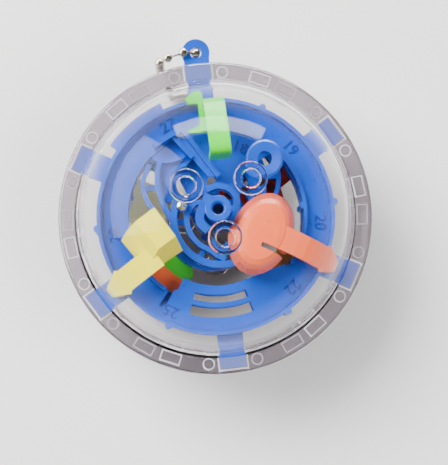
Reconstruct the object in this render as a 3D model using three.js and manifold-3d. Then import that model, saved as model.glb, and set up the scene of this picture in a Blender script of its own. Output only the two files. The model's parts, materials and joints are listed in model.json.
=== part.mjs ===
// A pocket 3-D maze ball: a clear two-part ball with a flange round its equator, a blue maze
// held between the flanges by six lugs, coloured gates and hoods that the steel marble passes,
// and a bead chain through the eye of the longest lug.
// Millimetres. The maze is laid out round the ball's centre: +Z is the polar axis and +Y the eye.
// The exported group then stands on the lower feet, centred on its own outline.
import * as THREE from "three";
import { mergeVertices } from "three/addons/utils/BufferGeometryUtils.js";
import Module from "manifold-3d";

const wasm = await Module();
wasm.setup();

// ---- driving dimensions ----
const BALL_R = 35.0; // outside radius of the clear ball
const WALL = 1.5; // thickness of the clear wall
const CAVITY_R = BALL_R - WALL;
const FLANGE_R = 39.5;
const FLANGE_T = 1.7; // thickness of each half's flange
const GAP = 0.1; // between pieces that touch

const LUG_ANGLES = [90, 30, -30, -90, -150, 150];
const EYE_LUG = LUG_ANGLES[0];
const LUG_W = 6.4;
const LUG_T = 2.0;
const LUG_END_R = 37.9;
const LUG_ROOM = 0.25; // round each lug in its pocket
const EYE_Y = 42.2;
const EYE_R = 3.55;
const EYE_HOLE_R = 1.45;

const FOOT_PCR = 8.74; // feet centres from the polar axis
const FOOT_R = 4.0;
const FOOT_BORE_R = 2.1;
const FOOT_Z = 35.7; // the plane that the feet stand on
const FOOT_FLOOR_Z = 33.5; // bottom of the bore in each foot

const PEG_TURN = 9.5; // degrees from each lug to a peg one way and a socket the other
const CLIP_TURN = 24.5; // degrees from each lug to a clip one way and its pocket the other
const SEAM_R = 36.9;
const PEG_R = 1.1;
const PEG_H = 1.3;
const CLIP = { long: 4.4, wide: 2.0, high: 1.2 };

const RING_IN = 21.9; // the ring track, from the outside of one wall to that of the other
const RING_OUT = 29.7;
const RING_WALL = 0.9;
const FRAME_IN_R = 25.4;
const SHELF_R = 32.4;
const FLOOR_Z = LUG_T / 2 + GAP; // underside of the track floors
const FLOOR_T = 1.0;
const FLOOR_TOP = FLOOR_Z + FLOOR_T;
const RAIL_TOP = 5.0;
const NUB_R = 0.9;

const BRIDGE_IN = 17.5; // the slotted bridge
const BRIDGE_FROM = -129;
const BRIDGE_TO = -42;
const LOWER_BRIDGE_TO = -65;
const LOWER_BRIDGE_TURN = 187; // brings the lower slots under the upper ones
const BRIDGE_T = 1.2;

const MARBLE_R = 1.6;
const RAIL_CENTRE = new THREE.Vector2(0.9, -0.8); // centre of the pair of curved rails
const OUTER_RAIL_R = 11.6;
const OUTER_RAIL_W = 1.7;
const INNER_RAIL_R = 8.35;
const INNER_RAIL_W = 1.3;
const MARBLE_TURN = 157; // where the marble rests on the rails

const CUP_TOP_Z = 19.2;
const DISC = { x: 13.1, y: 11.6, z: 12.4, r: 4.6, hole: 1.8 };

const ARM_W = 5.8; // the arms that hold the hoods
const HOOK_IN = RING_OUT + 0.5;
const HOOK_OUT = 32.7;
const HOOP_LIP_Z = 9.0; // lower end of the hoop's free lip
const BARB = 3.5; // half the width over the barbs

const BEAD_R = 1.2;
const WIRE_R = 0.35;
const BEADS_DOWN = 7; // on each side of the hanging loop

// ---- shape helpers ----
const rad = THREE.MathUtils.degToRad;
const at = (r, angle, centre = new THREE.Vector2()) =>
  new THREE.Vector2(Math.cos(rad(angle)), Math.sin(rad(angle))).multiplyScalar(r).add(centre);

function solidOf(geometry) {
  const bare = geometry.index ? geometry.toNonIndexed() : geometry.clone();
  bare.deleteAttribute("normal");
  bare.deleteAttribute("uv");
  const merged = mergeVertices(bare, 1e-4);
  return new wasm.Manifold(
    new wasm.Mesh({
      numProp: 3,
      vertProperties: merged.attributes.position.array,
      triVerts: new Uint32Array(merged.index.array),
    }),
  );
}

function geometryOf(solid) {
  const mesh = solid.getMesh();
  const geometry = new THREE.BufferGeometry();
  geometry.setAttribute("position", new THREE.BufferAttribute(mesh.vertProperties, 3));
  geometry.setIndex(new THREE.BufferAttribute(mesh.triVerts, 1));
  const flat = geometry.toNonIndexed();
  flat.computeVertexNormals();
  return flat;
}

const join = (...solids) => solids.reduce((whole, next) => whole.add(next));
const cut = (solid, ...tools) => tools.reduce((rest, tool) => rest.subtract(tool), solid);

// A shape drawn on the XY plane, as a solid from z0 up to z1.
function prism(shape, z0, z1, curveSegments = 12) {
  const depth = z1 - z0;
  const geometry = new THREE.ExtrudeGeometry(shape, { depth, bevelEnabled: false, curveSegments });
  return solidOf(geometry.translate(0, 0, z0));
}

// A shape drawn with x as distance from the axis and y as height, as a solid across the Y axis.
function slab(shape, y0, y1, curveSegments = 8) {
  const depth = y1 - y0;
  const geometry = new THREE.ExtrudeGeometry(shape, { depth, bevelEnabled: false, curveSegments });
  return solidOf(geometry.rotateX(Math.PI / 2).translate(0, y1, 0));
}

function sector(r0, r1, from, to, z0, z1) {
  const shape = new THREE.Shape();
  shape.absarc(0, 0, r1, rad(from), rad(to), false);
  shape.absarc(0, 0, r0, rad(to), rad(from), true);
  return prism(shape, z0, z1, Math.max(2, Math.ceil((to - from) / 12)));
}

function annulus(r0, r1, z0, z1, segments = 30) {
  const shape = new THREE.Shape().absarc(0, 0, r1, 0, 2 * Math.PI, false);
  shape.holes.push(new THREE.Path().absarc(0, 0, r0, 0, 2 * Math.PI, true));
  return prism(shape, z0, z1, segments);
}

function rod(centre, r, z0, z1, segments = 20) {
  const geometry = new THREE.CylinderGeometry(r, r, z1 - z0, segments).rotateX(Math.PI / 2);
  return solidOf(geometry.translate(centre.x, centre.y, (z0 + z1) / 2));
}

function block(x0, x1, y0, y1, z0, z1) {
  const geometry = new THREE.BoxGeometry(x1 - x0, y1 - y0, z1 - z0);
  return solidOf(geometry.translate((x0 + x1) / 2, (y0 + y1) / 2, (z0 + z1) / 2));
}

// A profile of [distance from the axis, height] points turned round +Z.
function turned(profile, segments) {
  const points = profile.map(([x, y]) => new THREE.Vector2(x, y));
  if (THREE.ShapeUtils.isClockWise(points)) points.reverse();
  return solidOf(new THREE.LatheGeometry(points, segments).rotateX(Math.PI / 2));
}

function arcPoints(r, from, to, steps) {
  return Array.from({ length: steps + 1 }, (_, i) => {
    const p = at(r, from + ((to - from) * i) / steps);
    return [p.x < 1e-6 ? 0 : p.x, p.y];
  });
}

// An upright wall of even width along a smooth line through the points.
function rail(points, width, z0, z1, steps = 16) {
  const curve = new THREE.SplineCurve(points);
  const left = [];
  const right = [];
  for (let i = 0; i <= steps; i++) {
    const p = curve.getPoint(i / steps);
    const along = curve.getTangent(i / steps);
    const across = new THREE.Vector2(-along.y, along.x).multiplyScalar(width / 2);
    left.push(p.clone().sub(across));
    right.unshift(p.clone().add(across));
  }
  return prism(new THREE.Shape([...left, ...right]), z0, z1);
}

const bar = (from, to, width, z0, z1) => rail([from, to], width, z0, z1, 1);
const line = (...points) => points.map(([x, y]) => new THREE.Vector2(x, y));
const plate = (points, z0, z1) => prism(new THREE.Shape(line(...points)), z0, z1);
const turnedTo = (solid, angle) => solid.rotate([0, 0, angle]);

// ---- clear case ----
// One half. The other is the same moulding turned over about the Y axis, so pegs and clips on
// one side of each lug meet sockets and pockets on the other side.
function shell() {
  const profile = [
    ...arcPoints(CAVITY_R, 90, 0, 10),
    [FLANGE_R, 0],
    [FLANGE_R, FLANGE_T - 0.4],
    [FLANGE_R - 0.4, FLANGE_T],
    ...arcPoints(BALL_R, 2.8, 90, 10),
  ];
  const core = solidOf(new THREE.SphereGeometry(CAVITY_R + WALL / 3, 28, 18));
  const feet = [];
  const bores = [];
  for (const angle of [150, 30, -90]) {
    const centre = at(FOOT_PCR, angle);
    feet.push(rod(centre, FOOT_R, 31, FOOT_Z, 24));
    bores.push(rod(centre, FOOT_BORE_R, FOOT_FLOOR_Z, FOOT_Z + 1, 20));
  }
  const parts = [cut(join(...feet), core)];
  const holes = [...bores];
  for (const lug of LUG_ANGLES) {
    const end = lug === EYE_LUG ? FLANGE_R + 2 : LUG_END_R + LUG_ROOM;
    const half = LUG_W / 2 + LUG_ROOM;
    holes.push(turnedTo(block(CAVITY_R - 2, end, -half, half, -1, LUG_T / 2 + GAP), lug));
    parts.push(rod(at(SEAM_R, lug + PEG_TURN), PEG_R, -PEG_H, 0.5, 12));
    holes.push(rod(at(SEAM_R, lug - PEG_TURN), PEG_R + GAP, -1, PEG_H + GAP, 12));
    const long = CLIP.long / 2;
    const wide = CLIP.wide / 2;
    const clip = (room, z0, z1) =>
      block(SEAM_R - wide - room, SEAM_R + wide + room, -long - room, long + room, z0, z1);
    parts.push(turnedTo(clip(0, -CLIP.high, 0.5), lug + CLIP_TURN));
    holes.push(turnedTo(clip(GAP, -1, CLIP.high + GAP), lug - CLIP_TURN));
  }
  return cut(join(turned(profile, 40), ...parts), ...holes);
}

// ---- blue maze ----
function frame() {
  const half = LUG_T / 2;
  const lugs = LUG_ANGLES.map((angle) => {
    const end = angle === EYE_LUG ? EYE_Y : LUG_END_R;
    return turnedTo(block(RING_OUT - 1, end, -LUG_W / 2, LUG_W / 2, -half, half), angle);
  });
  const eye = new THREE.Vector2(0, EYE_Y);
  return cut(
    join(
      annulus(FRAME_IN_R, RING_OUT, -half, half),
      sector(RING_OUT - 1, SHELF_R, 109, 139, -half, half),
      ...lugs,
      rod(eye, EYE_R, -half, half, 28),
    ),
    rod(eye, EYE_HOLE_R, -2, 2, 20),
  );
}

// The channel round the maze. Its floor is open under the bridge, from gap[0] to gap[1] degrees,
// and wallSpans are the stretches that have an inner wall.
function ringTrack(gap, wallSpans, innerNubs) {
  const parts = [
    sector(RING_IN, RING_OUT, gap[1], 360 + gap[0], FLOOR_Z, FLOOR_TOP),
    sector(FRAME_IN_R + 1, RING_OUT, gap[0] - 1, gap[1] + 1, FLOOR_Z, FLOOR_TOP),
    annulus(RING_OUT - RING_WALL, RING_OUT, FLOOR_Z, RAIL_TOP),
  ];
  for (const [from, to] of wallSpans) {
    parts.push(sector(RING_IN, RING_IN + RING_WALL, from, to, FLOOR_Z, RAIL_TOP));
  }
  for (let angle = 0; angle < 360; angle += 60) {
    parts.push(rod(at(RING_OUT, angle), NUB_R, FLOOR_Z, RAIL_TOP, 10));
  }
  for (const angle of innerNubs) {
    parts.push(rod(at(RING_IN, angle), NUB_R, FLOOR_Z, RAIL_TOP, 10));
  }
  return join(...parts);
}

// A deck across the open stretch of floor, with two curved slots and a tapered end.
function slottedBridge(to) {
  const z0 = FLOOR_TOP + GAP;
  const z1 = z0 + BRIDGE_T;
  const deck = sector(BRIDGE_IN, RING_OUT - RING_WALL - GAP, BRIDGE_FROM + 3, to, z0, z1);
  const corner = sector(BRIDGE_IN - 1, 21, BRIDGE_FROM, BRIDGE_FROM + 5, z0 - 1, z1 + 1);
  const taper = plate([[5.9, -16.6], [17.4, -13.5], [14, -6], [2, -10]], z0 - 1, z1 + 1);
  return cut(
    deck,
    corner,
    taper,
    sector(19.8, 21.7, -112, -75, z0 - 1, z1 + 1),
    sector(22.9, 25.5, -112, -75, z0 - 1, z1 + 1),
  );
}

// Rails and floors at the middle: the marble runs on the two curved rails round the centre.
function spiral() {
  const along = (r, from, to, steps) =>
    Array.from({ length: steps + 1 }, (_, i) => at(r, from + ((to - from) * i) / steps, RAIL_CENTRE));
  const outer = [
    ...along(OUTER_RAIL_R, 150, 320, 10),
    ...line([11.2, -5.0], [10.9, -1.0], [9.2, 3.4]),
  ];
  const inner = [...along(INNER_RAIL_R, 152, 244, 7), ...line([-1.0, -9.9], [1.0, -11.3])];
  const fromLanding = line([-12.4, 15.0], [-13.4, 12.0], [-13.5, 8.3], [-12.6, 3.8], [-10.6, -1.0]);
  const wideArc = line(
    [-14.9, 14.6], [-17.2, 10.5], [-16.8, 6.2], [-15.0, 2.6], [-12.4, -1.6], [-10.2, -4.2],
  );
  const landingEdge = line([-5.8, 13.8], [-10.1, 12.0], [-11.0, 9.0], [-10.0, 6.4], [-9.1, 4.9]);
  const recess = line([-14.0, 16.2], [-12.4, 15.3], [-9.2, 15.0], [-6.2, 15.8]);
  const fork = line([-7.3, 0.9], [-6.0, 2.6], [-4.4, 3.7], [-2.4, 3.4]);
  const crescent = line([-2.6, 3.2], [-4.1, 0.4], [-4.0, -1.8], [-2.4, -3.7]);
  const trough = line([-1.7, 6.6], [1.1, 7.3], [4.0, 6.2], [5.6, 3.6], [5.2, 0.6], [3.6, -2.2]);
  const landing = [
    [-16, 15.4], [-13.4, 18.6], [-5, 23], [-2.6, 16.4], [-5.0, 14.2], [-10.1, 11.8],
    [-11.0, 9.0], [-9.8, 5.8], [-11.4, 4.4], [-13.6, 8.3], [-13.4, 12.1], [-12.4, 15.0],
  ];
  const tongue = new THREE.Shape();
  tongue.absarc(0, 0, RING_IN - 0.2, rad(42), rad(104), false);
  const tip = line([1.2, 9.2], [0.6, 7.4], [4.2, 6.4], [5.9, 3.6], [7.0, 5.2], [9.6, 11.5]);
  for (const { x, y } of tip) tongue.lineTo(x, y);
  const floorBar = (from, to, width) => bar(from, to, width, FLOOR_Z, FLOOR_TOP);
  const tie = (angle) =>
    floorBar(at(INNER_RAIL_R, angle, RAIL_CENTRE), at(OUTER_RAIL_R, angle, RAIL_CENTRE), 1.3);
  const inside = (solid) => solid.intersect(rod(new THREE.Vector2(), RING_IN - 0.2, 0, 10, 60));
  return join(
    inside(plate(landing, FLOOR_Z, FLOOR_TOP)),
    prism(tongue, FLOOR_Z, FLOOR_TOP),
    rail(outer, OUTER_RAIL_W, FLOOR_Z, RAIL_TOP, 32),
    rail(inner, INNER_RAIL_W, FLOOR_Z, RAIL_TOP, 18),
    rail(fromLanding, 1.2, FLOOR_Z, RAIL_TOP - 0.1, 14),
    rail(wideArc, 1.1, FLOOR_Z, RAIL_TOP - 0.2, 14),
    rail(landingEdge, 1.0, FLOOR_Z, RAIL_TOP - 0.6, 12),
    inside(rail(recess, 1.0, FLOOR_Z, RAIL_TOP - 0.4, 10)),
    rail(fork, 1.2, FLOOR_Z, RAIL_TOP + 0.2, 8),
    rail(crescent, 2.2, FLOOR_Z, RAIL_TOP + 1.4, 10),
    rail(trough, 1.5, FLOOR_Z, RAIL_TOP + 0.4, 16),
    ...[178, 236].map(tie),
    floorBar(...line([-13.0, 9.0], [-17.0, 9.0]), 1.4),
    floorBar(...line([2.6, 1.0], [5.4, 1.8]), 1.6),
    annulus(1.5, 3.4, FLOOR_Z, FLOOR_TOP, 14),
  );
}

// The raised corner and slanting walls that lead off the ring track towards the middle.
function chute() {
  const z0 = FLOOR_TOP + GAP;
  return join(
    bar(...line([-13.4, 18.8], [-6.0, 22.3]), 1.2, z0, 7.4),
    bar(...line([-6.4, 22.8], [1.7, 9.4]), 1.2, z0, 7.4),
    bar(...line([-8.6, 20.9], [-4.2, 14.9]), 1.0, z0, 6.2),
    plate([[-8.6, 20.6], [-6.2, 22.0], [1.3, 9.6], [-0.8, 9.8], [-4.4, 15.0]], 3.9, 4.9),
  );
}

// A post with a round table on it, bored through. With a spout it is the goal cup.
function goalCup() {
  const post = turned(
    [
      [1.4, FLOOR_TOP + GAP],
      [1.4, CUP_TOP_Z - 0.5],
      [1.9, CUP_TOP_Z],
      [3.0, CUP_TOP_Z],
      [3.25, CUP_TOP_Z - 0.3],
      [3.25, CUP_TOP_Z - 1.6],
      [2.3, CUP_TOP_Z - 2.6],
      [2.3, 4.0],
      [2.6, FLOOR_TOP + GAP],
      [1.4, FLOOR_TOP + GAP],
    ],
    28,
  );
  const spout = [[-0.7, 3.0], [-2.6, 4.1], [-3.5, 3.0], [-2.9, 1.0], [-2.2, 1.4]];
  return join(post, plate(spout, CUP_TOP_Z - 1.6, CUP_TOP_Z));
}

function dropDisc() {
  const centre = new THREE.Vector2(DISC.x, DISC.y);
  const table = turned(
    [
      [DISC.hole, DISC.z - 0.3],
      [DISC.hole, DISC.z + 0.6],
      [DISC.r - 0.5, DISC.z + 1.2],
      [DISC.r, DISC.z + 0.9],
      [DISC.r, DISC.z],
      [DISC.r - 0.6, DISC.z - 0.3],
      [DISC.hole, DISC.z - 0.3],
    ],
    32,
  ).translate([centre.x, centre.y, 0]);
  const side = line(
    [20.0, FLOOR_TOP + GAP],
    [21.4, FLOOR_TOP + GAP],
    [21.4, DISC.z - 2],
    [20.4, DISC.z + 0.2],
    [18.6, DISC.z + 0.2],
    [20.0, DISC.z - 3],
  );
  return join(table, turnedTo(slab(new THREE.Shape(side), -1.5, 1.5), 50));
}

// ---- coloured gates and hoods, each drawn on +X as if its lug were there ----
// The arm runs out from the hood over the ring track and hooks down outside it onto the lug.
function arm(from, height) {
  const side = new THREE.Shape();
  side.moveTo(from, height);
  side.quadraticCurveTo((from + 29) / 2 + 2, height - 0.4, 29.4, 9.6);
  side.quadraticCurveTo(32.4, 7.4, HOOK_OUT, 3.6);
  side.lineTo(HOOK_OUT - 0.2, FLOOR_Z);
  side.lineTo(HOOK_IN, FLOOR_Z);
  side.lineTo(HOOK_IN, 5.8);
  side.quadraticCurveTo(29.8, 7.6, 28.6, 8.4);
  side.quadraticCurveTo((from + 29) / 2 + 1, height - 2.0, from, height - 1.4);
  const half = ARM_W / 2;
  const outline = [
    [from - 1, -half], [28.0, -half], [28.5, -BARB], [33.2, -1.0],
    [33.2, 0.6], [28.5, BARB], [28.0, half], [from - 1, half],
  ];
  return slab(side, -BARB, BARB, 6).intersect(plate(outline, 0, 40));
}

// An oval hood, open underneath, that covers a stretch of rail.
function ovalHood() {
  const top = 17.2;
  const rim = 9.6;
  const outline = [[1, 0.12], [0.9, 0.55], [0.8, 0.8], [0.68, 0.93], [0.5, 0.98], [0, 1]];
  const dome = (base, height, grow) => {
    const side = outline.map(([r, h]) => [r, rim + h * height]);
    return turned([[0, base], [1, base], ...side], 32).scale([7.5 + grow, 10.5 + grow, 1]);
  };
  const place = [12.1, -0.5, 0];
  const whole = dome(rim, top - rim, 0).translate(place);
  const hollow = dome(rim - 1, top - rim - 1.2, -1.2).translate(place);
  const slot = block(13.0, 21.2, -4.1, -2.95, 5, 20);
  return cut(join(whole, arm(15.5, 16.6)), hollow, slot);
}

// A square hood with sloping sides, open underneath.
function squareHood() {
  const corners = (list, z) => list.map(([x, y]) => [x, y, z]);
  const outside = wasm.Manifold.hull([
    ...corners([[12.0, -9.6], [12.0, -0.9], [17.2, -0.9], [17.6, -9.6]], 16.2),
    ...corners([[20.6, -9.3], [20.8, 0.6]], 12.6),
    ...corners([[11.6, -9.9], [12.2, 2.4], [22.4, 2.0], [22.9, -8.6]], 8.6),
  ]);
  const inside = wasm.Manifold.hull([
    ...corners([[13.2, -8.4], [13.2, -1.9], [16.8, -1.9], [17.0, -8.4]], 15.0),
    ...corners([[12.8, -8.7], [13.4, 1.2], [21.2, 0.8], [21.5, -7.4]], 7.6),
  ]);
  return cut(join(outside, arm(18.2, 14.0)), inside);
}

// A strip bent over the ring track, with a clip of two prongs across the channel.
function hoop() {
  const side = new THREE.Shape();
  side.moveTo(28.1, FLOOR_TOP + GAP);
  side.lineTo(28.1, 11.6);
  side.quadraticCurveTo(27.9, 13.6, 26.4, 14.8);
  side.quadraticCurveTo(20.0, 18.6, 15.2, 19.6);
  side.quadraticCurveTo(13.4, 19.6, 13.2, 17.6);
  side.lineTo(13.2, HOOP_LIP_Z);
  side.lineTo(14.4, HOOP_LIP_Z);
  side.lineTo(14.4, 17.0);
  side.quadraticCurveTo(14.5, 18.3, 15.6, 18.2);
  side.quadraticCurveTo(20.0, 17.6, 25.8, 13.7);
  side.quadraticCurveTo(26.8, 12.8, 26.9, 11.4);
  side.lineTo(26.9, FLOOR_TOP + GAP);
  const low = RAIL_TOP + GAP;
  return join(
    slab(side, -4.9, 0.3, 6),
    block(20.8, 30.6, 0.0, 1.3, low, low + 2.6),
    plate([[28.2, 0.5], [31.3, 0.5], [31, 2.4], [29.4, 4.4], [28.2, 3.8], [27.9, 1]], low, low + 2.4),
    plate([[20.7, 0.5], [23.0, 0.5], [21.6, 4.4], [21.0, 4.4]], low, low + 1.4),
  );
}

// A short trough that stands on the ring floor and reaches in over its edge, for the under side.
function ramp() {
  const z0 = FLOOR_TOP + GAP;
  return cut(sector(17.6, 26.4, -11, 11, z0, z0 + 4.2), sector(18.8, 25.2, -12, 12, z0 + 1.4, z0 + 6));
}

// A flat paddle on an arm, for the under side.
function scoop() {
  const blade = [
    [20.4, -2.8], [17.2, -6.4], [14.6, -8.4], [12.6, -8.0],
    [11.6, -5.8], [12.4, -1.2], [14.5, 1.6], [20.4, 2.8],
  ];
  return join(arm(19.4, 10.8), plate(blade, 9.2, 10.6));
}

// ---- bead chain ----
function bead(p) {
  return solidOf(new THREE.SphereGeometry(BEAD_R, 8, 6).rotateX(Math.PI / 2).translate(p.x, p.y, p.z));
}

function wire(from, to) {
  const along = to.clone().sub(from);
  const geometry = new THREE.CylinderGeometry(WIRE_R, WIRE_R, along.length(), 6);
  const upright = new THREE.Vector3(0, 1, 0);
  const turn = new THREE.Quaternion().setFromUnitVectors(upright, along.clone().normalize());
  const middle = from.clone().add(to).multiplyScalar(0.5);
  return solidOf(geometry.applyQuaternion(turn).translate(middle.x, middle.y, middle.z));
}

// Beads in a row joined by wires. next is the bead of the following strand, which the last wire
// reaches towards and stops short of.
function strand(beads, next) {
  const parts = beads.map(bead);
  for (let i = 1; i < beads.length; i++) parts.push(wire(beads[i - 1], beads[i]));
  if (next) {
    const last = beads[beads.length - 1];
    const reach = last.distanceTo(next) - BEAD_R - 0.15;
    parts.push(wire(last, last.clone().lerp(next, reach / last.distanceTo(next))));
  }
  return join(...parts);
}

// The chain comes up through the eye, over the lug to the left and down past the flange.
const arch = [
  new THREE.Vector3(0, EYE_Y, 0.5),
  new THREE.Vector3(-3.2, EYE_Y + 0.1, 2.65),
  new THREE.Vector3(-7.2, EYE_Y - 0.6, 1.5),
  new THREE.Vector3(-9.3, EYE_Y - 1.0, -1.8),
];
const rightTop = arch[0];
const leftTop = arch[arch.length - 1];

// The two strands hang down and draw in to the connector, which joins them at the bottom.
const CONNECTOR = { half: 3.3, r: 1.8, bore: 1.4, slot: 1.4 };
const low = new THREE.Vector3((rightTop.x + leftTop.x) / 2, (rightTop.y + leftTop.y) / 2, -31.4);
const endBead = (side) => new THREE.Vector3(low.x + side * (CONNECTOR.half - BEAD_R), low.y, low.z);
const rightEnd = endBead(1);
const leftEnd = endBead(-1);

function strandRun(top, end, first, last) {
  const run = [];
  for (let k = first; k <= last; k++) {
    const drawnIn = ((k / (BEADS_DOWN + 1)) ** 2) * 0.9;
    const x = THREE.MathUtils.lerp(top.x, end.x, drawnIn);
    const y = THREE.MathUtils.lerp(top.y, end.y, drawnIn);
    run.push(new THREE.Vector3(x, y, top.z + ((end.z - top.z) * k) / (BEADS_DOWN + 1)));
  }
  return run;
}

const rightRun = (first, last) => strandRun(rightTop, rightEnd, first, last);
const leftRun = (first, last) => strandRun(leftTop, leftEnd, first, last);

function archStrand() {
  const [right, rightNext] = rightRun(1, 2);
  const [left, leftNext] = leftRun(1, 2);
  return join(strand([rightTop, right], rightNext), strand([...arch, left], leftNext));
}

// A slotted sleeve that holds the last bead of each strand.
function connector() {
  const { half, r, bore, slot } = CONNECTOR;
  const tube = (radius, reach) => {
    const geometry = new THREE.CylinderGeometry(radius, radius, 2 * reach, 18);
    return solidOf(geometry.rotateZ(Math.PI / 2).translate(low.x, low.y, low.z));
  };
  const lips = block(-half - 1, half + 1, -slot / 2, slot / 2, 0, 3).translate([low.x, low.y, low.z]);
  const sleeve = cut(tube(r, half), tube(bore, half + 1), lips);
  const dimple = rod(new THREE.Vector2(low.x, low.y), 0.5, low.z - r + 0.1, low.z - bore + 0.6, 8);
  return join(sleeve, dimple);
}

// ---- assembly ----
const finish = {
  clear: { color: 0xe8eef2, roughness: 0.05, metalness: 0, transparent: true, opacity: 0.3 },
  blue: { color: 0x1668d8, roughness: 0.35, metalness: 0 },
  green: { color: 0x62e03a, roughness: 0.35, metalness: 0 },
  yellow: { color: 0xfbe06a, roughness: 0.35, metalness: 0 },
  coral: { color: 0xfb7a55, roughness: 0.35, metalness: 0 },
  cream: { color: 0xf3e9a8, roughness: 0.35, metalness: 0 },
  red: { color: 0xb81c14, roughness: 0.35, metalness: 0 },
  amber: { color: 0xd8a63a, roughness: 0.35, metalness: 0 },
  leaf: { color: 0x2f8a2c, roughness: 0.35, metalness: 0 },
  orange: { color: 0xe8602c, roughness: 0.35, metalness: 0 },
  steel: { color: 0xb9bcc0, roughness: 0.15, metalness: 1 },
  nickel: { color: 0xb3a88f, roughness: 0.2, metalness: 1 },
};
const materials = Object.fromEntries(
  Object.entries(finish).map(([name, look]) => [name, new THREE.MeshStandardMaterial(look)]),
);

function piece(name, solid, material) {
  const mesh = new THREE.Mesh(geometryOf(solid), materials[material]);
  mesh.name = name;
  return mesh;
}

const upperGap = [BRIDGE_FROM, BRIDGE_TO];
const upper = new THREE.Group();
upper.add(
  piece("upper_shell", shell(), "clear"),
  piece("upper_ring_track", ringTrack(upperGap, [[-40, 40], [131, 229]], [0, 200]), "blue"),
  piece("upper_slotted_bridge", slottedBridge(BRIDGE_TO), "blue"),
  piece("upper_spiral_rails", spiral(), "blue"),
  piece("upper_chute", chute(), "blue"),
  piece("goal_cup", goalCup(), "blue"),
  piece("upper_drop_disc", dropDisc(), "blue"),
  piece("green_hoop", turnedTo(hoop(), 90), "green"),
  piece("yellow_hood", turnedTo(squareHood(), -150), "yellow"),
  piece("coral_hood", turnedTo(ovalHood(), -30), "coral"),
);

// The under side is laid out the same way and turned over about the X axis. Its rails face the
// other way, which keeps the open places over each other, and the scoop's arm hooks on under the
// yellow hood's.
const lowerGap = [BRIDGE_FROM + LOWER_BRIDGE_TURN, LOWER_BRIDGE_TO + LOWER_BRIDGE_TURN];
const lower = new THREE.Group();
lower.rotation.x = Math.PI;
lower.add(
  piece("lower_ring_track", ringTrack(lowerGap, [[-50, 20], [160, 229]], [0, 200]), "blue"),
  piece("lower_slotted_bridge", turnedTo(slottedBridge(LOWER_BRIDGE_TO), LOWER_BRIDGE_TURN), "blue"),
  piece("lower_spiral_rails", turnedTo(spiral(), 180), "blue"),
  piece("start_cup", goalCup(), "blue"),
  piece("leaf_scoop", turnedTo(scoop(), 150), "leaf"),
  piece("cream_hood", turnedTo(squareHood(), -150), "cream"),
  piece("red_hood", turnedTo(ovalHood(), -30), "red"),
  piece("orange_ramp", turnedTo(ramp(), 135), "orange"),
  piece("amber_ramp", turnedTo(ramp(), 37), "amber"),
);

const lowerShell = piece("lower_shell", shell(), "clear");
lowerShell.rotation.y = Math.PI;

const trackR = (OUTER_RAIL_R - OUTER_RAIL_W / 2 + INNER_RAIL_R + INNER_RAIL_W / 2) / 2;
const marbleSpot = at(trackR, MARBLE_TURN, RAIL_CENTRE);
const railGap = OUTER_RAIL_R - INNER_RAIL_R - (OUTER_RAIL_W + INNER_RAIL_W) / 2;
const marbleZ = RAIL_TOP + Math.sqrt(MARBLE_R ** 2 - (railGap / 2) ** 2) + GAP;
const marble = new THREE.SphereGeometry(MARBLE_R, 20, 12).rotateX(Math.PI / 2);

const ball = new THREE.Group();
ball.add(
  upper,
  lower,
  lowerShell,
  piece("maze_frame", frame(), "blue"),
  piece("marble", solidOf(marble.translate(marbleSpot.x, marbleSpot.y, marbleZ)), "steel"),
  piece("chain_arch", archStrand(), "nickel"),
  piece("chain_mid_right", strand(rightRun(2, 4), rightRun(5, 5)[0]), "nickel"),
  piece("chain_mid_left", strand(leftRun(2, 4), leftRun(5, 5)[0]), "nickel"),
  piece("chain_low_right", strand([...rightRun(5, BEADS_DOWN), rightEnd]), "nickel"),
  piece("chain_low_left", strand([...leftRun(5, BEADS_DOWN), leftEnd]), "nickel"),
  piece("chain_connector", connector(), "nickel"),
);
// The outline runs from the flange at -Y to the end of the eye at +Y.
ball.position.set(0, (FLANGE_R - EYE_Y - EYE_R) / 2, FOOT_Z);

const mazeBall = new THREE.Group();
mazeBall.add(ball);

export default mazeBall;
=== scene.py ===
"""Looks of the maze ball: fine clear shells, beads and marble over the CAD frame, plastic and
metal finishes, raised track numbers, and a softly lit pale table."""
import json
import math

import bmesh
import bpy
from mathutils import Matrix, Vector


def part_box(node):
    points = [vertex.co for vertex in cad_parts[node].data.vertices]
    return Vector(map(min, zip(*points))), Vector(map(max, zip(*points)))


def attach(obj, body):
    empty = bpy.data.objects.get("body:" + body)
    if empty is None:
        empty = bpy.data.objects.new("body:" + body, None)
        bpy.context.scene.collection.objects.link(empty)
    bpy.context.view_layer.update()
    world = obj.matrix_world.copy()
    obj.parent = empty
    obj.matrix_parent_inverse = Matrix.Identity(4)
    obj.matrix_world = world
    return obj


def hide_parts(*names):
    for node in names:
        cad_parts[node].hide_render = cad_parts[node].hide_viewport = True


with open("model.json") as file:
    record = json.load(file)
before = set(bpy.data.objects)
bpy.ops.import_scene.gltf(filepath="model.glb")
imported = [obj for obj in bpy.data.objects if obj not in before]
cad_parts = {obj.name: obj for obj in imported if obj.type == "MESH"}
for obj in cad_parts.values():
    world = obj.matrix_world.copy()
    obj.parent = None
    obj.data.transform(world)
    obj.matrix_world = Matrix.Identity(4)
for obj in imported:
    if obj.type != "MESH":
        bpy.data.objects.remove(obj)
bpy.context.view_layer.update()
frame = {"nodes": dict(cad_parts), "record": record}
NODES = frame["nodes"]
MM = 0.001

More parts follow.
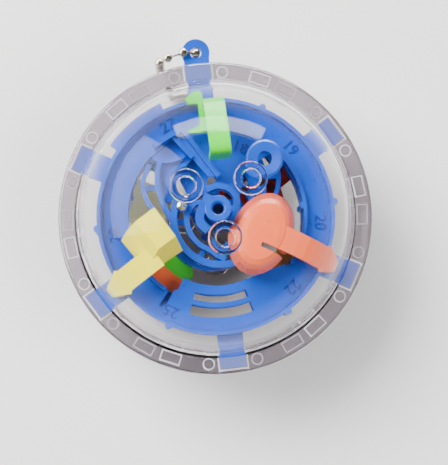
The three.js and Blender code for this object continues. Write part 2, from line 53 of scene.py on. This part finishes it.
# ---- sizes the fine pieces share with the CAD, in millimetres and degrees ----
CENTRE = Vector((0, -3.125, 35.7))  # of the ball, in the row frame
BALL_R, CAVITY_R = 35.0, 33.5
FLANGE_R, FLANGE_T = 39.5, 1.7
LUGS = (90, 30, -30, -90, -150, 150)
LUG_W, LUG_T, LUG_END, LUG_ROOM, GAP = 6.4, 2.0, 37.9, 0.25, 0.1
SEAM_R, PEG_R, PEG_H = 36.9, 1.1, 1.3
PEG_TURN, CLIP_TURN = 9.5, 24.5  # each lug has a peg and a clip one way, and their pockets the other
CLIP_LONG, CLIP_WIDE, CLIP_HIGH = 4.4, 2.0, 1.2
FEET = (150, 30, -90)
FOOT_FROM_AXIS, FOOT_R, FOOT_BORE_R, FOOT_Z, FOOT_FLOOR = 8.74, 4.0, 2.1, 35.7, 33.5
FLOOR_TOP, BRIDGE_TOP = 2.1, 3.4  # of the ring's floor and the bridge's deck
MARBLE_R = 1.6
EYE_Y = 42.2

# ---- sizes of the fine pieces alone ----
SOFT_EDGE, SLEEVE_EDGE = 0.14, 0.08  # width of the rounding on the CAD nodes' edges
SEAM = 0.05  # half the gap where the clear halves meet
LEDGE, LEDGE_Z = 0.35, 0.3  # width and depth of the step round each pocket at the seam
CUT_FROM, BORE_END = -1, 37  # where cuts start below the seam, and where bores end past the feet
FIXING_ROOT, FOOT_ROOT = 0.5, 32.6  # heights that pegs and clips, and feet, grow from
FOOT_ROUND = 0.6  # on the rim of each foot
NUMBER_SIZE, NUMBER_THICK, NUMBER_ROUND, NUMBER_LIFT = 4.0, 0.14, 0.05, 0.1


# ---- meshes ----
def polar(r, degrees):
    return r * math.cos(math.radians(degrees)), r * math.sin(math.radians(degrees))


def arc(r, start, end, steps, centre=(0, 0)):
    """Points round centre, from start to end degrees."""
    angles = [start + (end - start) * i / steps for i in range(steps + 1)]
    return [(centre[0] + x, centre[1] + y) for x, y in (polar(r, angle) for angle in angles)]


def from_bmesh(name, bm):
    bmesh.ops.recalc_face_normals(bm, faces=bm.faces)
    mesh = bpy.data.meshes.new(name)
    bm.to_mesh(mesh)
    bm.free()
    obj = bpy.data.objects.new(name, mesh)
    bpy.context.scene.collection.objects.link(obj)
    return obj


def ring(bm, r, z, n, centre):
    """A ring of n points, or a single point where it would have no width."""
    if r < 1e-6:
        return [bm.verts.new((centre[0] * MM, centre[1] * MM, z * MM))]
    out = []
    for i in range(n):
        x, y = polar(r, 360 * i / n)
        out.append(bm.verts.new(((x + centre[0]) * MM, (y + centre[1]) * MM, z * MM)))
    return out


def turned(bm, profile, n, centre=(0, 0)):
    """A profile of (radius, height) that starts and ends on the axis, turned round an upright axis
    at centre in n steps."""
    rings = [ring(bm, r, z, n, centre) for r, z in profile]
    for a, b in zip(rings, rings[1:]):
        for i in range(n):
            j = (i + 1) % n
            corners = (a[i % len(a)], a[j % len(a)], b[j % len(b)], b[i % len(b)])
            bm.faces.new(list(dict.fromkeys(corners)))
    return [v for each in rings for v in each]


def cylinder(bm, centre, r, z0, z1):
    turned(bm, [(0, z0), (r, z0), (r, z1), (0, z1)], 28, centre)


def block(bm, x0, x1, half_wide, z0, z1, degrees):
    """A block that lies along +X, turned by degrees round the polar axis."""
    made = bmesh.ops.create_cube(bm, size=1)["verts"]
    size = Matrix.Diagonal(((x1 - x0) * MM, 2 * half_wide * MM, (z1 - z0) * MM, 1))
    place = Matrix.Translation(Vector((x0 + x1, 0, z0 + z1)) * MM / 2)
    turn = Matrix.Rotation(math.radians(degrees), 4, "Z")
    bmesh.ops.transform(bm, matrix=turn @ place @ size, verts=made)


def boolean(obj, tool, operation):
    step = obj.modifiers.new(operation, "BOOLEAN")
    step.object = tool
    step.operation = operation
    step.solver = "MANIFOLD"


def evaluated(obj):
    """A mesh of obj as its modifiers leave it."""
    bpy.context.view_layer.update()
    graph = bpy.context.evaluated_depsgraph_get()
    return bpy.data.meshes.new_from_object(obj.evaluated_get(graph))


def bake(obj, tools):
    """Applies obj's modifiers and drops the tools."""
    mesh = evaluated(obj)
    obj.modifiers.clear()
    obj.data = mesh
    for tool in tools:
        bpy.data.objects.remove(tool)


def smooth(obj, degrees=30):
    obj.data.shade_smooth()
    obj.data.set_sharp_from_angle(angle=math.radians(degrees))


def bevel(obj, width, degrees):
    step = obj.modifiers.new("edges", "BEVEL")
    step.width = width * MM
    step.segments = 2
    step.limit_method = "ANGLE"
    step.angle_limit = math.radians(degrees)
    step.harden_normals = True
    step.use_clamp_overlap = True


# ---- clear halves ----
def section():
    """Half of a clear half's section, from the top of the cavity round to the top of the dome."""
    inner = arc(CAVITY_R, 90, 0, 40)
    inner[-1] = (CAVITY_R, SEAM)
    rim = ((0, SEAM), (0, 0.9), (-0.12, 1.25), (-0.4, 1.52), (-0.8, FLANGE_T))
    fillet = ((0.45, FLANGE_T), (0.2, 1.8), (0.04, 2.05))
    flange = [(FLANGE_R + x, z) for x, z in rim] + [(BALL_R + x, z) for x, z in fillet]
    return inner + flange + arc(BALL_R, 4, 90, 40)


def rounded(r, start, end):
    """The rounded corner of a foot's rim, whose centre is at radius r."""
    return arc(FOOT_ROUND, start, end, 6, (r, FOOT_Z - FOOT_ROUND))


def feet(added, taken):
    """Three feet round the pole, each with a blind bore."""
    rim = rounded(FOOT_R - FOOT_ROUND, 0, 90)
    mouth_r = FOOT_BORE_R + FOOT_ROUND
    mouth = rounded(mouth_r, 180, 90)
    outside = [(0, FOOT_ROOT), (FOOT_R, FOOT_ROOT), *rim, (0, FOOT_Z)]
    bore = [(0, FOOT_FLOOR), (FOOT_BORE_R, FOOT_FLOOR), *mouth, (mouth_r, BORE_END), (0, BORE_END)]
    for angle in FEET:
        centre = polar(FOOT_FROM_AXIS, angle)
        turned(added, outside, 72, centre)
        turned(taken, bore, 72, centre)


def pockets(bm, lug, grow, lug_top, peg_top, clip_top):
    """Cuts for a lug, a peg and a clip, each wider all round by grow."""
    end = FLANGE_R + 2 if lug == LUGS[0] else LUG_END + LUG_ROOM
    block(bm, CAVITY_R - 2, end + grow, LUG_W / 2 + LUG_ROOM + grow, CUT_FROM, lug_top, lug)
    room = GAP + grow
    cylinder(bm, polar(SEAM_R, lug - PEG_TURN), PEG_R + room, CUT_FROM, peg_top)
    wide = CLIP_WIDE / 2 + room
    block(bm, SEAM_R - wide, SEAM_R + wide, CLIP_LONG / 2 + room, CUT_FROM, clip_top, lug - CLIP_TURN)


def clear_half(name):
    """The clear moulding: dome, flange, feet, lug pockets, pegs and clips."""
    bm = bmesh.new()
    turned(bm, section(), 180)
    half = from_bmesh(name, bm)
    added, taken, ledges = bmesh.new(), bmesh.new(), bmesh.new()
    feet(added, taken)
    for lug in LUGS:
        cylinder(added, polar(SEAM_R, lug + PEG_TURN), PEG_R, -PEG_H, FIXING_ROOT)
        wide = CLIP_WIDE / 2
        block(added, SEAM_R - wide, SEAM_R + wide, CLIP_LONG / 2, -CLIP_HIGH, FIXING_ROOT, lug + CLIP_TURN)
        pockets(taken, lug, 0, LUG_T / 2 + GAP, PEG_H + GAP, CLIP_HIGH + GAP)
        pockets(ledges, lug, LEDGE, LEDGE_Z, LEDGE_Z, LEDGE_Z)
    tools = from_bmesh("add", added), from_bmesh("take", taken), from_bmesh("step", ledges)
    for tool, operation in zip(tools, ("UNION", "DIFFERENCE", "DIFFERENCE")):
        boolean(half, tool, operation)
    bake(half, tools)
    smooth(half)
    return half


# ---- finishes ----
def material(name):
    mat = bpy.data.materials.new(name)
    mat.use_nodes = True
    tree = mat.node_tree
    tree.nodes.clear()
    out = tree.nodes.new("ShaderNodeOutputMaterial")
    shader = tree.nodes.new("ShaderNodeBsdfPrincipled")
    tree.links.new(shader.outputs[0], out.inputs["Surface"])
    return mat, tree, shader, out


def noise(tree, scale, detail=3.0):
    where = tree.nodes.new("ShaderNodeTexCoord")
    node = tree.nodes.new("ShaderNodeTexNoise")
    node.inputs["Scale"].default_value = scale
    node.inputs["Detail"].default_value = detail
    tree.links.new(where.outputs["Object"], node.inputs["Vector"])
    return node.outputs["Fac"]


def spread(tree, value, low, high, start=0.3, end=0.7):
    """value's range from start to end, spread from low to high."""
    node = tree.nodes.new("ShaderNodeMapRange")
    node.inputs["From Min"].default_value = start
    node.inputs["From Max"].default_value = end
    node.inputs["To Min"].default_value = low
    node.inputs["To Max"].default_value = high
    tree.links.new(value, node.inputs["Value"])
    return node.outputs["Result"]


def maths(tree, operation, a, b=0.0):
    """COMPARE gives 1 where a and b are within 0.05 of each other."""
    node = tree.nodes.new("ShaderNodeMath")
    node.operation = operation
    for socket, value in zip(node.inputs, (a, b, 0.05)):
        if isinstance(value, float):
            socket.default_value = value
        else:
            tree.links.new(value, socket)
    return node.outputs[0]


def blend(tree, factor, a, b):
    node = tree.nodes.new("ShaderNodeMix")
    node.data_type = "RGBA"
    for name, value in (("A", a), ("B", b)):
        if isinstance(value, tuple):
            node.inputs[name].default_value = (*value, 1)
        else:
            tree.links.new(value, node.inputs[name])
    tree.links.new(factor, node.inputs["Factor"])
    return node.outputs["Result"]


def layered(tree, factor, a, b):
    node = tree.nodes.new("ShaderNodeMixShader")
    for socket, value in zip(node.inputs, (factor, a, b)):
        tree.links.new(value, socket)
    return node.outputs[0]


def bump(tree, shader, value, strength, distance):
    node = tree.nodes.new("ShaderNodeBump")
    node.inputs["Strength"].default_value = strength
    node.inputs["Distance"].default_value = distance * MM
    tree.links.new(value, node.inputs["Height"])
    tree.links.new(node.outputs["Normal"], shader.inputs["Normal"])


def plastic(name, light, dark, glow=0.12):
    """Semi-gloss moulded plastic whose colour drifts a little, with a faint grain."""
    mat, tree, shader, _ = material(name)
    drift = spread(tree, noise(tree, 90), 0, 1)
    tree.links.new(blend(tree, drift, dark, light), shader.inputs["Base Color"])
    tree.links.new(spread(tree, noise(tree, 600, 4), 0.26, 0.40), shader.inputs["Roughness"])
    shader.inputs["IOR"].default_value = 1.42
    shader.inputs["Subsurface Weight"].default_value = glow
    shader.inputs["Subsurface Radius"].default_value = (1, 1, 1)
    shader.inputs["Subsurface Scale"].default_value = 0.6 * MM
    bump(tree, shader, noise(tree, 2500, 2), 0.08, 0.03)
    return mat


def metal(name, colour, rough, wear):
    mat, tree, shader, _ = material(name)
    shader.inputs["Base Color"].default_value = (*colour, 1)
    shader.inputs["Metallic"].default_value = 1
    tree.links.new(spread(tree, noise(tree, 700, 4), rough, rough + wear), shader.inputs["Roughness"])
    return mat


def ball_place(tree):
    """Distance from the ball's centre, distance from its axis, and height, in millimetres."""
    where = tree.nodes.new("ShaderNodeTexCoord")
    place = tree.nodes.new("ShaderNodeVectorMath")
    place.operation = "MULTIPLY_ADD"
    place.inputs[1].default_value = (1 / MM,) * 3
    place.inputs[2].default_value = -CENTRE
    tree.links.new(where.outputs["Object"], place.inputs[0])
    split = tree.nodes.new("ShaderNodeSeparateXYZ")
    tree.links.new(place.outputs[0], split.inputs[0])
    x, y, z = split.outputs
    across = maths(tree, "ADD", maths(tree, "MULTIPLY", x, x), maths(tree, "MULTIPLY", y, y))
    square = maths(tree, "ADD", across, maths(tree, "MULTIPLY", z, z))
    return maths(tree, "SQRT", square), maths(tree, "SQRT", across), z


ROOF_HIGHLIGHT, WALL_HIGHLIGHT, STEP_HIGHLIGHT = 0.15, 0.6, 0.75  # how much of each is painted white, as painted highlight


def flange_painted_highlight(tree, radius, height):
    """Painted highlight in the flange: white on the upright walls, the pocket roofs and the steps at the
    seam, for the bright edges round the pockets.
    """
    level = maths(tree, "ABSOLUTE", height)
    roof = maths(tree, "COMPARE", level, LUG_T / 2 + GAP)
    step = maths(tree, "COMPARE", level, LEDGE_Z)
    facing = tree.nodes.new("ShaderNodeNewGeometry")
    split = tree.nodes.new("ShaderNodeSeparateXYZ")
    tree.links.new(facing.outputs["True Normal"], split.inputs[0])
    upright = maths(tree, "LESS_THAN", maths(tree, "ABSOLUTE", split.outputs["Z"]), 0.5)
    highlights = maths(tree, "MULTIPLY", roof, ROOF_HIGHLIGHT)
    for mark, strength in ((upright, WALL_HIGHLIGHT), (step, STEP_HIGHLIGHT)):
        highlights = maths(tree, "MAXIMUM", highlights, maths(tree, "MULTIPLY", mark, strength))
    return maths(tree, "MULTIPLY", highlights, maths(tree, "GREATER_THAN", radius, BALL_R + 0.3))


# Wall tints: the lower half's is darker as painted shade for the dim light below the ball; the flange and
# feet's is deeper, partly because they are thick and partly as painted shade.
LOWER_PAINTED_SHADE, UPPER_WALL, THICK_TINT_AND_PAINTED_SHADE = (0.82, 0.78, 0.79), (0.96, 0.965, 0.97), (0.70, 0.65, 0.69)
LOWER_SHADOW, UPPER_SHADOW = (0.5, 0.49, 0.49), (0.95, 0.955, 0.96)
DOME_IOR, FLANGE_IOR = 1.18, 1.5


def clear_plastic():
    """Polished clear plastic. Its walls are darker in the lower half as painted shade for the dim light
    below the ball, and deeper, violet-grey in tint where it is thick, on the flange and the feet, partly
    for the thickness and partly as painted shade for the dark surroundings seen through them. White
    painted highlight lines the flange's pocket walls, roofs and seam steps. Lamp light and bounced light
    pass straight through it, dimmed most by the lower half."""
    mat, tree, shader, out = material("clear_plastic")
    distance, radius, height = ball_place(tree)
    thick = spread(tree, distance, 0, 1, BALL_R + 0.05, BALL_R + 0.3)
    half = spread(tree, height, 0, 1, -1, 1)  # 0 in the lower half, and 1 in the upper
    # painted shade: the lower half's walls are darker than the upper half's
    walls_painted_shade_below = blend(tree, half, LOWER_PAINTED_SHADE, UPPER_WALL)
    # where thick, a deeper tint, partly for the thickness and partly as painted shade
    tree.links.new(blend(tree, thick, walls_painted_shade_below, THICK_TINT_AND_PAINTED_SHADE), shader.inputs["Base Color"])
    tree.links.new(spread(tree, thick, DOME_IOR, FLANGE_IOR, 0, 1), shader.inputs["IOR"])
    tree.links.new(spread(tree, noise(tree, 160, 5), 0.0, 0.03), shader.inputs["Roughness"])
    shader.inputs["Transmission Weight"].default_value = 1
    bump(tree, shader, noise(tree, 70, 2), 0.12, 0.05)
    # white diffuse, mixed in as the painted highlight along the flange's edges
    white_highlight = tree.nodes.new("ShaderNodeBsdfDiffuse")
    white_highlight.inputs["Color"].default_value = (0.9, 0.9, 0.92, 1)
    solid = layered(tree, flange_painted_highlight(tree, radius, height), shader.outputs[0], white_highlight.outputs[0])
    through = tree.nodes.new("ShaderNodeBsdfTransparent")
    tree.links.new(blend(tree, half, LOWER_SHADOW, UPPER_SHADOW), through.inputs["Color"])
    path = tree.nodes.new("ShaderNodeLightPath")
    either = maths(tree, "MAXIMUM", path.outputs["Is Shadow Ray"], path.outputs["Is Diffuse Ray"])
    tree.links.new(layered(tree, either, solid, through.outputs[0]), out.inputs["Surface"])
    return mat


FINISH = {
    "clear": clear_plastic(),
    "blue": plastic("blue_plastic", (0.0, 0.078, 0.54), (0.0, 0.055, 0.42)),
    "green": plastic("green_plastic", (0.05, 0.78, 0.006), (0.04, 0.68, 0.004)),
    "yellow": plastic("yellow_plastic", (1.0, 0.90, 0.02), (1.0, 0.84, 0.015)),
    "cream": plastic("cream_plastic", (1.0, 0.92, 0.40), (1.0, 0.88, 0.34), glow=0.3),
    "coral": plastic("coral_plastic", (1.0, 0.17, 0.05), (1.0, 0.13, 0.035)),
    "leaf": plastic("leaf_plastic", (0.04, 0.50, 0.02), (0.03, 0.40, 0.015)),
    "orange": plastic("orange_plastic", (0.85, 0.12, 0.03), (0.7, 0.08, 0.02)),
    "amber": plastic("amber_plastic", (0.78, 0.42, 0.07), (0.66, 0.32, 0.04)),
    "red": plastic("red_plastic", (0.5, 0.008, 0.004), (0.36, 0.005, 0.003)),
    "steel": metal("steel", (0.70, 0.70, 0.69), 0.04, 0.05),
    "nickel": metal("nickel", (0.44, 0.39, 0.32), 0.07, 0.08),
}
# Darker blue for the raised numbers, as painted shade that sets them off from the floor.
PAINTED_SHADE_BLUE = plastic("painted_shade_blue_plastic", (0.0, 0.035, 0.28), (0.0, 0.026, 0.22))


def dress(obj, finish, look=None):
    obj.data.materials.clear()
    obj.data.materials.append(look or FINISH[finish])


# ---- the CAD nodes that are shown as they are, with softened edges ----
SLOT_OF = {p["node"]: p["material_slot"] for p in frame["record"]["subparts"]}
REPLACED = ("upper_shell", "lower_shell", "marble")
for name, node in NODES.items():
    if name in REPLACED or name.startswith("chain"):
        continue
    flat = node.modifiers.new("faces", "DECIMATE")
    flat.decimate_type = "DISSOLVE"
    flat.angle_limit = math.radians(1)
    bevel(node, SOFT_EDGE, 35)
    smooth(node)
    dress(node, SLOT_OF[name])

# ---- clear halves and marble, in place of the CAD's ----
for name, turn in (("upper_shell", 0), ("lower_shell", math.pi)):
    half = clear_half(name + "_fine")
    half.data.transform(Matrix.Translation(CENTRE * MM) @ Matrix.Rotation(turn, 4, "Y"))
    dress(half, "clear")
    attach(half, "ball")
    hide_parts(name)

bm = bmesh.new()
low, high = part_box("marble")
bmesh.ops.create_uvsphere(bm, u_segments=64, v_segments=40, radius=MARBLE_R * MM)
bmesh.ops.translate(bm, vec=(low + high) / 2, verts=bm.verts)
marble = from_bmesh("marble_fine", bm)
smooth(marble)
dress(marble, "steel")
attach(marble, "marble")
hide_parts("marble")

# ---- chain: beads with collars on short wires, at the CAD's places, in millimetres from CENTRE ----
BEAD_R, WIRE_R, COLLAR_R = 1.2, 0.32, 0.55
COLLAR_FROM, COLLAR_TO, COLLAR_END = BEAD_R * 0.8, BEAD_R - 0.02, BEAD_R + 0.06
WIRE_SHORT = 0.15  # between a wire's end and the next bead
BEADS_DOWN = 7
DRAW_IN = 0.9  # how much of the way in to its end a strand's curve would come
ARCH = [
    Vector((0, EYE_Y, 0.5)),
    Vector((-3.2, EYE_Y + 0.1, 2.65)),
    Vector((-7.2, EYE_Y - 0.6, 1.5)),
    Vector((-9.3, EYE_Y - 1.0, -1.8)),
]
LOW = Vector(((ARCH[0].x + ARCH[-1].x) / 2, (ARCH[0].y + ARCH[-1].y) / 2, -31.4))
END_X = 2.1  # of the last bead of each strand from the middle of the connector
RIGHT_END, LEFT_END = LOW + Vector((END_X, 0, 0)), LOW - Vector((END_X, 0, 0))
BEYOND = Vector((0, 0, -BEAD_R - 0.3))  # where a last bead's collar is aimed, from the bead


def hanging(top, end, first, last):
    """Beads number first to last of a strand that hangs from top and draws in to end."""
    out = []
    for k in range(first, last + 1):
        part = k / (BEADS_DOWN + 1)
        sideways = top.lerp(end, DRAW_IN * part**2)
        out.append(Vector((sideways.x, sideways.y, top.z + (end.z - top.z) * part)))
    return out


def right_beads(first, last):
    return hanging(ARCH[0], RIGHT_END, first, last)


def left_beads(first, last):
    return hanging(ARCH[-1], LEFT_END, first, last)


def bead(bm, place):
    ball = bmesh.ops.create_uvsphere(bm, u_segments=28, v_segments=18, radius=BEAD_R * MM)["verts"]
    bmesh.ops.transform(bm, matrix=place, verts=ball)


def wire(bm, place, reach):
    """A wire from a bead's middle, and the collar that it leaves the bead by."""
    rod = ((0, 0), (WIRE_R, 0), (WIRE_R, reach), (0, reach))
    cap = ((COLLAR_R, COLLAR_FROM), (COLLAR_R, COLLAR_TO), (WIRE_R, COLLAR_END))
    for outline in (rod, ((0, COLLAR_FROM), *cap, (0, COLLAR_END))):
        bmesh.ops.transform(bm, matrix=place, verts=turned(bm, outline, 12))


def strand(name, body, *runs):
    """Beads joined by wires. A run's last point is only aimed at, by a wire that stops short of it.
    A second run that starts at the first one's bead shares it."""
    bm = bmesh.new()
    made = []
    for run in runs:
        for a, b in zip(run, run[1:]):
            aim = (b - a).to_track_quat("Z", "Y").to_matrix().to_4x4()
            place = Matrix.Translation((CENTRE + a) * MM) @ aim
            if a not in made:
                bead(bm, place)
                made.append(a)
            wire(bm, place, (b - a).length - BEAD_R - WIRE_SHORT)
    obj = from_bmesh(name + "_fine", bm)
    smooth(obj, 40)
    dress(obj, "nickel")
    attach(obj, body)
    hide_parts(name)


strand("chain_arch", "ball", [ARCH[0]] + right_beads(1, 2), ARCH + left_beads(1, 2))
strand("chain_mid_right", "chain_upper", right_beads(2, 5))
strand("chain_mid_left", "chain_upper", left_beads(2, 5))
strand("chain_low_right", "chain_lower", right_beads(5, 7) + [RIGHT_END, RIGHT_END + BEYOND])
strand("chain_low_left", "chain_lower", left_beads(5, 7) + [LEFT_END, LEFT_END + BEYOND])
sleeve = NODES["chain_connector"]
bevel(sleeve, SLEEVE_EDGE, 50)
smooth(sleeve, 40)
dress(sleeve, "nickel")


# ---- raised numbers on the ring's floor and the bridge, in darker blue as painted shade ----
def number(text, r, angle, height):
    """A raised number on the floor at that height, its top towards the rim."""
    curve = bpy.data.curves.new("number_" + text, "FONT")
    curve.body = text
    curve.size = NUMBER_SIZE * MM
    curve.extrude = NUMBER_THICK * MM
    curve.bevel_depth = NUMBER_ROUND * MM
    curve.align_x = "CENTER"
    curve.align_y = "CENTER"
    obj = bpy.data.objects.new("number_" + text, curve)
    bpy.context.scene.collection.objects.link(obj)
    x, y = polar(r, angle)
    obj.location = (Vector((x, y, height + NUMBER_LIFT)) + CENTRE) * MM
    obj.rotation_euler = (0, 0, math.radians(angle - 90))
    mesh = evaluated(obj)
    mesh.transform(obj.matrix_world)
    bpy.data.objects.remove(obj)
    made = bpy.data.objects.new("number_" + text, mesh)
    bpy.context.scene.collection.objects.link(made)
    # darker blue as painted shade
    dress(made, "blue", PAINTED_SHADE_BLUE)
    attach(made, "ball")


for text, r, angle, height in (
    ("27", 25.8, 111, FLOOR_TOP),
    ("18", 18.4, 64, FLOOR_TOP),
    ("19", 25.7, 36, FLOOR_TOP),
    ("20", 26.2, -10, FLOOR_TOP),
    ("22", 26.0, -50, BRIDGE_TOP),
    ("25", 26.2, -122, BRIDGE_TOP),
    ("28", 25.6, -176, FLOOR_TOP),
):
    number(text, r, angle, height)

# ---- table ----
TABLE_PALE = (0.95, 0.945, 0.93, 1)
bm = bmesh.new()
bmesh.ops.create_grid(bm, x_segments=1, y_segments=1, size=1.5)
table = from_bmesh("table", bm)
pale, tree, shader, _ = material("pale_table")
shader.inputs["Base Color"].default_value = TABLE_PALE
shader.inputs["Roughness"].default_value = 0.7
table.data.materials.append(pale)

# ---- camera ----
TILT, HEADING, ROLL = 6.86, 246.0, 83.12  # degrees off the polar axis, round it, and of turn
DISTANCE = 0.45
SENSOR, LENS = 36, 138.348  # mm
SHIFT_X, SHIFT_Y = 0.0184, -0.0327


def view_axes():
    """From the ball towards the camera, and the camera's right and up directions."""
    x, y = polar(math.sin(math.radians(TILT)), HEADING)
    back = Vector((x, y, math.cos(math.radians(TILT))))
    right = Vector((*polar(1, ROLL), 0)).cross(back).normalized()
    return back, right, back.cross(right)


BACK, RIGHT, UP = view_axes()
eye = bpy.data.cameras.new("camera")
eye.sensor_width = SENSOR
eye.lens = LENS
eye.shift_x, eye.shift_y = SHIFT_X, SHIFT_Y
camera = bpy.data.objects.new("camera", eye)
turn = Matrix((RIGHT, UP, BACK)).transposed().to_4x4()
camera.matrix_world = Matrix.Translation(CENTRE * MM + BACK * DISTANCE) @ turn
bpy.context.scene.collection.objects.link(camera)
bpy.context.scene.camera = camera


# ---- light ----
def softbox(name, right, up, distance, size, power, mirrored):
    """An area lamp aimed at the ball from degrees right and up of the camera's own direction. A
    mirrored one is there for its reflection in the dome, and the others for their light."""
    a, b = math.radians(right), math.radians(up)
    towards = (BACK * math.cos(a) + RIGHT * math.sin(a)) * math.cos(b) + UP * math.sin(b)
    lamp = bpy.data.lights.new(name, "AREA")
    lamp.shape = "RECTANGLE"
    lamp.size, lamp.size_y = size
    lamp.energy = power
    obj = bpy.data.objects.new(name, lamp)
    obj.location = CENTRE * MM + towards * distance
    obj.rotation_euler = (-towards).to_track_quat("-Z", "Y").to_euler()
    obj.visible_glossy = obj.visible_transmission = mirrored
    obj.visible_diffuse = not mirrored
    bpy.context.scene.collection.objects.link(obj)


def room():
    """Dim light from all round, stronger from above, and a pale backdrop for the camera."""
    world = bpy.data.worlds.new("room")
    bpy.context.scene.world = world
    world.use_nodes = True
    tree = world.node_tree
    where = tree.nodes.new("ShaderNodeTexCoord")
    height = tree.nodes.new("ShaderNodeSeparateXYZ")
    ramp = tree.nodes.new("ShaderNodeValToRGB")
    stops = ramp.color_ramp.elements
    stops[0].position, stops[0].color = 0.0, (0.03, 0.025, 0.025, 1)
    stops[1].position, stops[1].color = 1.0, (0.28, 0.29, 0.31, 1)
    stops.new(0.45).color = (0.06, 0.055, 0.06, 1)
    tree.links.new(where.outputs["Generated"], height.inputs[0])
    tree.links.new(height.outputs["Z"], ramp.inputs["Fac"])
    path = tree.nodes.new("ShaderNodeLightPath")
    seen = maths(tree, "MAXIMUM", path.outputs["Is Camera Ray"], path.outputs["Is Transmission Ray"])
    backdrop = blend(tree, seen, ramp.outputs["Color"], (0.62, 0.615, 0.61))
    tree.links.new(backdrop, tree.nodes["Background"].inputs["Color"])
    tree.nodes["Background"].inputs["Strength"].default_value = 1.0


softbox("window", -74, 20, 0.5, (0.62, 0.6), 16.0, mirrored=True)
softbox("top", 14, 80, 0.6, (0.62, 0.16), 14.0, mirrored=True)
softbox("key", -30, 26, 0.7, (0.4, 0.4), 13.0, mirrored=False)
softbox("fill", 34, -8, 0.8, (0.5, 0.5), 6.0, mirrored=False)
room()
